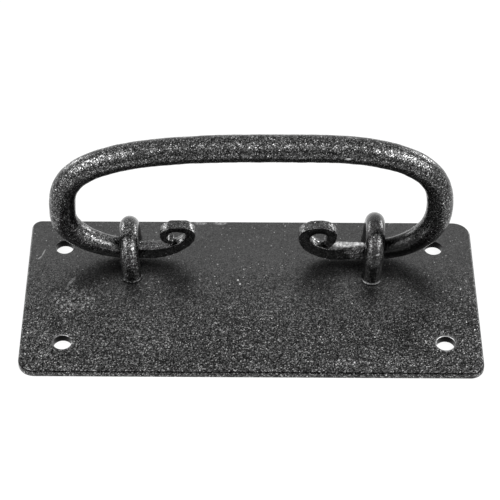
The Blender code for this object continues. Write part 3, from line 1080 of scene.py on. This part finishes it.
@dataclass
class BackPlate:
    """The sheet-metal plate, its corners cut by hand and its four holes punched."""

    node: str = "back_plate"
    length: float = 165.0 * MM
    width: float = 76.0 * MM
    front_round: float = 0.8 * MM
    back_break: float = 0.3 * MM
    hole: float = 6.6 * MM
    hole_break: float = 0.4 * MM
    break_steps: int = 5
    tenon_hole: float = 5.6 * MM
    head_hole: float = 8.2 * MM
    overrun: float = 0.3 * MM
    rear_right: CornerSizes = CornerSizes(1, 1, *mm(6.5, 14.1, 13.7), mm(0.20, 0.15))
    rear_left: CornerSizes = CornerSizes(-1, 1, *mm(3.7, 13.0, 14.1), mm(0.0, 0.20))
    front_left: CornerSizes = CornerSizes(-1, -1, *mm(6.0, 15.2, 13.7), mm(0.0, -0.15))
    front_right: CornerSizes = CornerSizes(1, -1, *mm(5.0, 12.4, 14.1), mm(0.75, -0.30))

    @property
    def corners(self) -> tuple[CornerSizes, ...]:
        """The four corners, in the order in which they are cut."""
        return self.rear_right, self.rear_left, self.front_left, self.front_right

    def hole_middle(self, corner: CornerSizes, height: float) -> Triple:
        """The middle of a corner's screw hole, at a height."""
        return (corner.x * (self.length / 2 - corner.hole_from_end),
                corner.y * (self.width / 2 - corner.hole_from_side), height)

    def build(self) -> Piece:
        """Cut the plate out, ease its edges and make its holes.

        Returns:
            The finished plate.
        """
        plate = add_primitive(
            bpy.ops.mesh.primitive_cube_add, "cut_back_plate",
            (self.length, self.width, PLATE_TOP), size=1.0, location=(0.0, 0.0, PLATE_TOP / 2))
        start_edit(plate)
        for corner in self.corners:
            self._round_corner(plate, corner)
        self._ease_rim(plate, PLATE_TOP, self.front_round, segments=5)
        self._ease_rim(plate, 0.0, self.back_break, segments=2)
        for corner in self.corners:
            self._jut_out(plate, corner)
        end_edit()
        for corner in self.corners:
            self._bore(plate, self._screw_hole(corner))
        for staple in STAPLES:
            for end in (-1, 1):
                self._bore(plate, self._tenon_hole(staple, end))
        shade_smooth(plate, degrees=30.0)
        return plate

    def _round_corner(self, plate: Piece, corner: CornerSizes) -> None:
        """Round one upright edge of the plate.

        Args:
            plate: The plate in edit mode.
            corner: The corner's sizes.
        """
        end, side = corner.x * self.length / 2, corner.y * self.width / 2
        select_where(plate, lambda place: abs(place.x - end) < SAME_PLACE
                     and abs(place.y - side) < SAME_PLACE, "EDGE")
        bpy.ops.mesh.bevel(offset=corner.radius, segments=12, profile=0.5, affect="EDGES")

    @staticmethod
    def _jut_out(plate: Piece, corner: CornerSizes) -> None:
        """Move one corner out of square, as the hand cutting left it."""
        select_where(plate, lambda place: place.x * corner.x > 0 and place.y * corner.y > 0)
        bpy.ops.transform.translate(value=(*corner.jut, 0.0))

    @staticmethod
    def _ease_rim(plate: Piece, level: float, width: float, segments: int) -> None:
        """Round the plate's rim at one level."""
        select_where(plate, lambda place: abs(place.z - level) < SAME_PLACE, "EDGE")
        bpy.ops.mesh.bevel(offset=width, segments=segments, profile=0.5, affect="EDGES")

    def _screw_hole(self, corner: CornerSizes) -> Piece:
        """A cutter for one screw hole, with its edges broken.

        Args:
            corner: The corner's sizes.

        Returns:
            The cutter.
        """
        radius, over = self.hole / 2, self.hole_break
        rings = [(radius + 0.5 * over, -over), (radius + 0.12 * over, 0.5 * over),
                 (radius, 1.2 * over), (radius, PLATE_TOP - over)]
        for step in range(1, self.break_steps + 1):
            angle = QUARTER_TURN * step / self.break_steps
            rings.append((radius + over * (1 - math.cos(angle)),
                          PLATE_TOP - over * (1 - math.sin(angle))))
        rings.append((radius + 4 * over, PLATE_TOP + over))
        return self._turned_cutter("screw_hole", Vector(self.hole_middle(corner, 0.0)), rings)

    def _tenon_hole(self, staple: Staple, end: int) -> Piece:
        """A cutter for the hole that one tenon passes through, with its head's countersink.

        Args:
            staple: The staple.
            end: -1 for its front tenon, or 1 for its rear one.

        Returns:
            The cutter.
        """
        turn = Matrix.Rotation(staple.side.value * -staple.toe_in, 2)
        offset = turn @ Vector((0.0, end * (staple.leg_spacing / 2)))
        place = Vector((staple.side.value * staple.from_middle + offset.x, AXIS_Y + offset.y,
                        0.0))
        bore, head = self.tenon_hole / 2, self.head_hole / 2
        slope = (head - bore) / HEAD_DEPTH
        rings = [(head + slope * self.overrun, -self.overrun), (bore, HEAD_DEPTH),
                 (bore, PLATE_TOP + self.overrun)]
        return self._turned_cutter("tenon_hole", place, rings)

    @staticmethod
    def _turned_cutter(name: str, place: Vector, rings: list[tuple[float, float]]) -> Piece:
        """A closed round cutter, extruded upwards ring by ring.

        Args:
            name: The cutter's name.
            place: The middle of its foot.
            rings: Its (radius, height) pairs from the bottom up.

        Returns:
            The cutter.
        """
        radius, height = rings[0]
        cutter = add_primitive(
            bpy.ops.mesh.primitive_circle_add, name, vertices=64, radius=radius,
            fill_type="NGON", location=place + Vector((0.0, 0.0, height)))
        start_edit(cutter)
        for wider, higher in rings[1:]:
            bpy.ops.mesh.extrude_region_move(
                TRANSFORM_OT_translate={"value": (0.0, 0.0, higher - height)})
            bpy.ops.transform.resize(value=(wider / radius, wider / radius, 1.0),
                                     center_override=place + Vector((0.0, 0.0, higher)))
            radius, height = wider, higher
        face_outwards()
        end_edit()
        return cutter

    @staticmethod
    def _bore(plate: Piece, cutter: Piece) -> None:
        """Cut a cutter out of the plate and throw it away."""
        modify(plate, cutter.name, "BOOLEAN", operation="DIFFERENCE", solver="EXACT", object=cutter)
        bpy.data.objects.remove(cutter, do_unlink=True)


# Studio

WHITE = (1.0, 1.0, 1.0, 1.0)


@dataclass(frozen=True)
class SoftBox:
    """One area light, aimed at the pull.

    Its azimuth is 0 in front of the pull and grows towards the pull's right, in degrees.
    """

    name: str
    azimuth: float
    elevation: float
    distance: float
    width: float
    height: float
    brightness: float
    aim: Triple = (0.0, 0.0, 20.0 * MM)

    def hang(self) -> None:
        """Add the light at its place, aimed at the pull."""
        data = bpy.data.lights.new(self.name, "AREA")
        data.shape = "RECTANGLE"
        data.size = self.width
        data.size_y = self.height
        data.energy = self.brightness * math.pi * self.width * self.height
        light = bpy.data.objects.new(self.name, data)
        bpy.context.scene.collection.objects.link(light)
        turn, lift = math.radians(self.azimuth), math.radians(self.elevation)
        way = Vector((math.sin(turn) * math.cos(lift), -math.cos(turn) * math.cos(lift),
                      math.sin(lift)))
        light.location = way * self.distance + Vector(self.aim)
        light.rotation_euler = (-way).to_track_quat("-Z", "Y").to_euler()


@dataclass
class Studio:
    """White paper, soft boxes and the camera of the photograph."""

    target: Triple = mm(-0.2, 22.8, 3.0)
    elevation: float = math.radians(45.0)
    roll: float = math.radians(0.29)
    distance: float = 786.0 * MM
    lens: float = 151.34
    sensor: float = 36.0
    paper_size: float = 4.0
    paper_drop: float = 0.2 * MM
    paper_white: float = 0.92
    paper_grey: float = 0.15
    fill: float = 0.2
    boxes: tuple[SoftBox, ...] = (
        SoftBox("over_box", 0.0, 67.0, 0.9, 0.30, 0.85, 1.0),
        SoftBox("left_box", 288.0, 40.0, 0.9, 0.75, 0.65, 3.8),
        SoftBox("right_box", 72.0, 40.0, 0.9, 0.75, 0.65, 4.6),
        SoftBox("left_back_box", 225.0, 9.0, 0.9, 0.30, 0.25, 7.0),
        SoftBox("right_back_box", 135.0, 9.0, 0.9, 0.30, 0.25, 9.0),
    )
    card_distance: float = 1.0
    card_elevation: float = math.radians(14.0)
    card_width: float = 1.0
    card_height: float = 0.45
    card_grey: float = 0.5

    def build(self) -> None:
        """Set up the paper, the light and the camera."""
        self._paper()
        self._card()
        self._world()
        for box in self.boxes:
            box.hang()
        self._camera()
        bpy.context.scene.view_settings.view_transform = "Standard"

    @staticmethod
    def _cleared(holder: bpy.types.Material | bpy.types.World) -> Wiring:
        """Start the wiring of a new material or world from nothing.

        Args:
            holder: The material or the world.

        Returns:
            Its wiring.
        """
        holder.use_nodes = True
        holder.node_tree.nodes.clear()
        return Wiring(holder.node_tree)

    @staticmethod
    def _seen(wires: Wiring) -> Socket:
        """Whether a ray sees the surface.

        Args:
            wires: The wiring of a material or the world.

        Returns:
            1 for a ray that sees it straight, in a reflection or through glass, or else 0.
        """
        path = wires.node("LightPath").outputs
        seen = wires.math("MAXIMUM", path["Is Camera Ray"], path["Is Glossy Ray"])
        return wires.math("MAXIMUM", seen, path["Is Transmission Ray"])

    def _paper(self) -> None:
        """The white floor, which keeps a faint shadow of the pull."""
        paper = add_primitive(bpy.ops.mesh.primitive_plane_add, "paper", size=self.paper_size,
                              location=(0.0, 0.0, -self.paper_drop))
        material = bpy.data.materials.new("white_paper")
        wires = self._cleared(material)
        grey = (self.paper_grey,) * 3 + (1.0,)
        diffuse = wires.node("BsdfDiffuse", {"Color": grey})
        white = wires.math("MULTIPLY", self._seen(wires), self.paper_white)
        glow = wires.node("Emission", {"Color": WHITE, "Strength": white})
        both = wires.node("AddShader", {0: diffuse.outputs[0], 1: glow.outputs[0]})
        wires.node("OutputMaterial", {"Surface": both.outputs[0]})
        paper.data.materials.append(material)

    def _card(self) -> None:
        """A grey card below the camera, which only shows in the metal."""
        way = Vector((0.0, -math.cos(self.card_elevation), math.sin(self.card_elevation)))
        card = add_primitive(
            bpy.ops.mesh.primitive_plane_add, "camera_card",
            (self.card_width, self.card_height, 1.0), size=1.0,
            location=way * self.card_distance,
            rotation=(QUARTER_TURN - self.card_elevation, 0.0, 0.0))
        material = bpy.data.materials.new("grey_card")
        wires = self._cleared(material)
        glow = wires.node("Emission", {"Color": (self.card_grey,) * 3 + (1.0,)})
        wires.node("OutputMaterial", {"Surface": glow.outputs[0]})
        card.data.materials.append(material)
        card.visible_camera = False

    def _world(self) -> None:
        """White where it is seen, and a plain soft fill as light."""
        world = bpy.data.worlds.new("studio")
        wires = self._cleared(world)
        fill, white = (wires.node("Background", {"Color": WHITE, "Strength": strength}).outputs[0]
                       for strength in (self.fill, 1.0))
        choice = wires.node("MixShader", {"Fac": self._seen(wires), 1: fill, 2: white})
        wires.node("OutputWorld", {"Surface": choice.outputs[0]})
        bpy.context.scene.world = world

    def _camera(self) -> None:
        """Place the camera as the photograph's camera stood."""
        data = bpy.data.cameras.new("camera")
        data.sensor_width = self.sensor
        data.lens = self.lens
        data.clip_start = 10.0 * MM
        camera = bpy.data.objects.new("camera", data)
        bpy.context.scene.collection.objects.link(camera)
        back = Vector((0.0, -math.cos(self.elevation), math.sin(self.elevation)))
        level = Vector((1.0, 0.0, 0.0))
        upward = back.cross(level)
        right = math.cos(self.roll) * level + math.sin(self.roll) * upward
        up = -math.sin(self.roll) * level + math.cos(self.roll) * upward
        turn = Matrix((right, up, back)).transposed().to_4x4()
        camera.matrix_world = Matrix.Translation(
            Vector(self.target) + back * self.distance) @ turn
        bpy.context.scene.camera = camera


# The whole pull

PLATE = BackPlate()
HOLE_RIM = mm(6.0, 6.0, 0.25)
# How far the painted shade on the screw holes' walls reaches.
HOLE_WALL_SHADE = mm(6.0, 6.0, 2.1)
RIM_HEIGHT = 2.85 * MM
# The height of the middle of the painted shade on the screw holes' walls.
WALL_SHADE_HEIGHT = 1.2 * MM
SPECK = mm(0.5, 0.6, 0.5)
# How far the painted shade reaches inside the curls' eyes, and on their fronts.
CURL_EYE_SHADE = mm(5.6, 9.0, 4.6)
CURL_FRONT_SHADE = mm(24.0, 1.6, 24.0)

PLATE_COAT = PowderCoat(
    "plate_coat", grey=0.040, spread=1.2, roughness=0.34, grain=2900.0, relief=0.02 * MM,
    painted_rear_light=1.95, rim_shade=0.25, calm=Rub(mm(0, 75, 0), mm(600, 100, 100), 0.82, cover=1.0),
    wear_and_painted_light=(
        # Painted light that makes the front left paler, a rubbed patch, and a squiggle with two
        # short lines.
        Rub(mm(-46, -22, 3), mm(26, 16, 3), 1.0, cover=1.0, grey=0.050, grainy=True),
        Rub(mm(-64, -3.5, 3), mm(10, 10, 2), 0.90, grey=0.23, grainy=True),
        Rub(mm(-65.8, 6.2, 3), mm(3.2, 0.8, 1), 0.50, 1000.0, 0.5, turn=math.radians(57.0)),
        Rub(mm(-78.4, 18.2, 3), mm(1.6, 0.4, 1), 0.35, cover=1.0, turn=math.radians(50.0)),
        Rub(mm(-77.2, 20.9, 3), mm(2.4, 0.4, 1), 0.35, cover=1.0, turn=math.radians(72.0)),
        # Two specks near the middle, two smudges at the front and two chips at the rear.
        Rub(mm(-4.6, 7.1, 3), SPECK, 0.90, cover=1.0),
        Rub(mm(-3.8, 5.1, 3), SPECK, 0.90, cover=1.0),
        Rub(mm(34.5, -33.3, 3), mm(9, 2.2, 2), 0.90, grey=0.15, grainy=True),
        Rub(mm(52, -32.5, 3), mm(7.5, 1.8, 2), 0.75, grey=0.15, grainy=True),
        Rub(mm(-19, 37.3, 3), mm(3, 1.5, 2), 0.60, 1000.0, cover=0.3),
        Rub(mm(-11.6, 37.3, 3), mm(3.2, 1.5, 2), 0.60, 1000.0, cover=0.3),
        # The worn rims of the front holes, and painted shade on the walls of all four.
        Rub(PLATE.hole_middle(PLATE.front_right, RIM_HEIGHT), HOLE_RIM, 1.00, 500.0, 0.6),
        Rub(PLATE.hole_middle(PLATE.front_left, RIM_HEIGHT), HOLE_RIM, 0.45, 500.0, 0.3),
        *(Rub(PLATE.hole_middle(corner, WALL_SHADE_HEIGHT), HOLE_WALL_SHADE, 8.0, cover=1.0, grey=0.003)
          for corner in PLATE.corners),
    ))

STAPLE_COAT = PowderCoat(
    "staple_coat", grey=0.043, spread=1.05, roughness=0.22, grain=3200.0, relief=0.03 * MM,
    sleek=0.85, calm=Rub(mm(45, 18.6, 20), mm(30, 40, 26), 0.3, cover=1.0),
    wear_and_painted_light=(
        # Both front feet are rubbed, and the right staple is scratched.
        Rub(mm(-44.1, 7, 3.3), mm(9, 7, 1), 0.60, 1200.0),
        Rub(mm(45, 6.5, 3.3), mm(9, 7, 1.1), 1.00, 1200.0, cover=0.5),
        Rub(mm(46.6, 6.6, 16), mm(1.5, 2, 0.4), 0.90, cover=0.6),
    ))

BAIL_COAT = PowderCoat(
    "bail_coat", grey=0.040, spread=1.2, roughness=0.27, grain=3300.0, relief=0.03 * MM,
    sleek=0.35, shine=2.6, calm=Rub(mm(0, 18.6, 5), mm(85, 200, 42), 0.4, cover=1.0),
    wear_and_painted_light=(
        # Painted shade inside the curls, on their fronts and in the lower right bend.
        Rub(mm(-27, 18.6, 17), CURL_EYE_SHADE, 0.8, cover=1.0, grey=0.006),
        Rub(mm(24.9, 18.6, 16.8), CURL_EYE_SHADE, 0.8, cover=1.0, grey=0.006),
        Rub(mm(-31, 14.6, 12), CURL_FRONT_SHADE, 0.8, cover=1.0, grey=0.02),
        Rub(mm(27, 14.6, 12), CURL_FRONT_SHADE, 0.8, cover=1.0, grey=0.02),
        Rub(mm(57, 15.5, 12), mm(15, 7.5, 12), 0.85, cover=1.0, grey=0.012),
        # A painted highlight along the top edge of the bar by the right staple, and a nick in the
        # bar's front.
        Rub(mm(36.5, 19.3, 10.6), mm(9.5, 3, 1.8), 1.00, 800.0, cover=0.35, grey=0.75),
        Rub(mm(34.2, 13.6, 57.6), mm(1.3, 1.4, 0.6), 0.9, cover=1.0),
    ))


def finish_piece(piece: Piece, node: str, body: str,
                 material: bpy.types.Material) -> None:
    """Dress a piece, put it in a node's place and report it.

    Args:
        piece: The finished piece.
        node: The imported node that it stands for.
        body: The body that it moves with.
        material: Its finish.
    """
    piece.data.materials.clear()
    piece.data.materials.append(material)
    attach(piece, body)
    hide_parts(node)
    log.info("%s: %d faces in place of %s", piece.name, len(piece.data.polygons), node)


def main() -> None:
    """Build the pull and its studio in order."""
    logging.basicConfig(level=logging.INFO, format="%(message)s")
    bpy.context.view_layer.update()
    grain_group = make_grain_group()
    coat_spot_group = make_coat_spot_group()
    finish_piece(PLATE.build(), PLATE.node, "plate",
                 PLATE_COAT.material(grain_group, coat_spot_group))
    staple_coat = STAPLE_COAT.material(grain_group, coat_spot_group)
    for staple in STAPLES:
        finish_piece(staple.build(), staple.node, "plate", staple_coat)
    bail = Bail()
    finish_piece(bail.build(), bail.node, "bail",
                 BAIL_COAT.material(grain_group, coat_spot_group))
    Studio().build()


if __name__ == "__main__":
    main()
